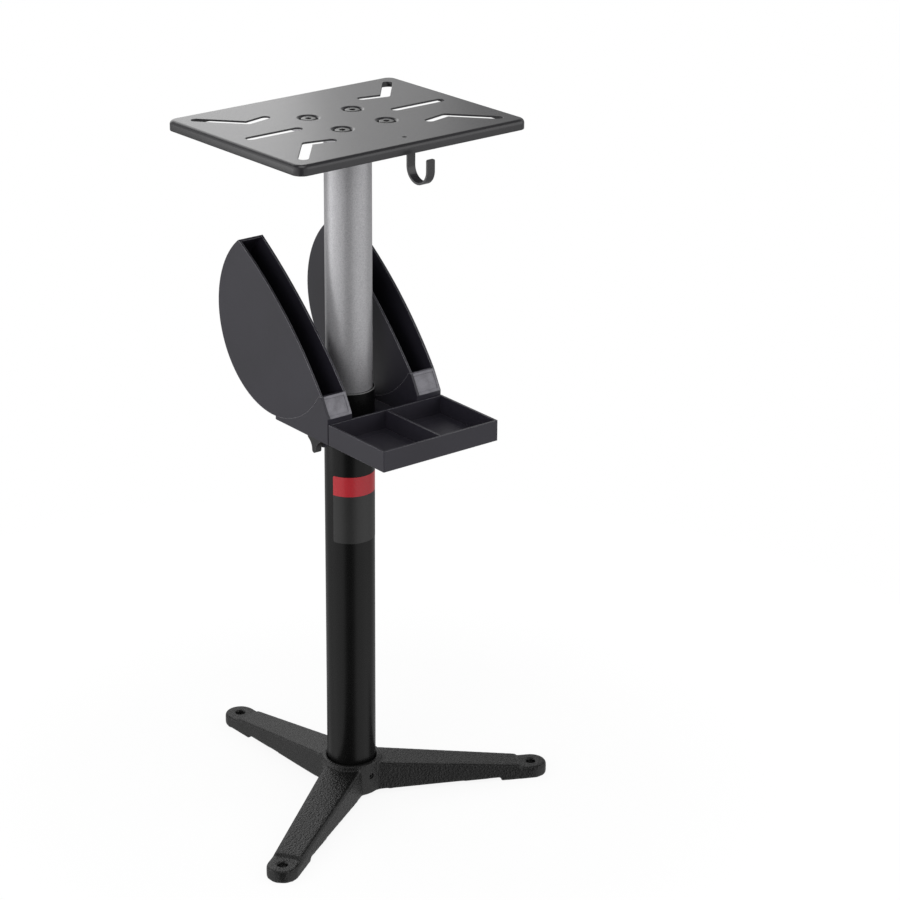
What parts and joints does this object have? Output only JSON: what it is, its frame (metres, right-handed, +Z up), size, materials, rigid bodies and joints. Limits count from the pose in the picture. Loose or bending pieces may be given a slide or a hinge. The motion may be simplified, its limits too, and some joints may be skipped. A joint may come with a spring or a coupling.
{
  "type": "bench grinder stand",
  "caption": "Pedestal stand with a slotted top plate on a telescoping round column, a three-legged cast base, wheel pockets, a parts tray and a tool hook.",
  "frame": {"origin": "on the floor, at the column's axis, the centre of the foot bolt circle", "axes": "+Z up along the column; -Y towards the operator, over the parts tray; +X to the operator's right"},
  "size_m": [0.4135, 0.4059, 0.815],
  "materials": {
    "cast_black": "rough textured black coat",
    "black_oxide": "blackened steel",
    "gloss_black": "gloss black powder coat",
    "nylon_grey": "moulded nylon",
    "hammertone_grey": "grey hammered paint",
    "satin_black": "satin black powder coat",
    "bright_zinc": "bright zinc plating",
    "charcoal_plastic": "fine matt moulded plastic",
    "knob_plastic": "satin moulded plastic"
  },
  "bodies": {
    "root": {"base_casting": "cast_black", "base_set_screws": "black_oxide", "lower_tube": "gloss_black", "top_guide": "nylon_grey", "tray_bracket": "charcoal_plastic", "lock_nut": "bright_zinc", "right_pocket": "charcoal_plastic", "left_pocket": "charcoal_plastic", "pocket_screws": "bright_zinc", "parts_tray": "charcoal_plastic", "tray_screws": "bright_zinc"},
    "column_upper": {"upper_tube": "hammertone_grey", "mounting_flange": "hammertone_grey", "flange_nuts": "bright_zinc", "top_plate": "satin_black", "plate_screws": "black_oxide", "tool_hook": "satin_black", "hook_screw": "bright_zinc"},
    "knob": {"lock_knob": "knob_plastic", "knob_stud": "bright_zinc"}
  },
  "joints": [
    {"name": "column_height", "type": "slide", "parent": "root", "child": "column_upper", "axis": [0, 0, 1], "range_m": [-0.1, 0.1]},
    {"name": "knob_turn", "type": "hinge", "parent": "root", "child": "knob", "pos_m": [-0.04498, 0.00118, 0.452], "axis": [-0.9997, 0.0262, 0], "range_deg": [0, 360]}
  ]
}
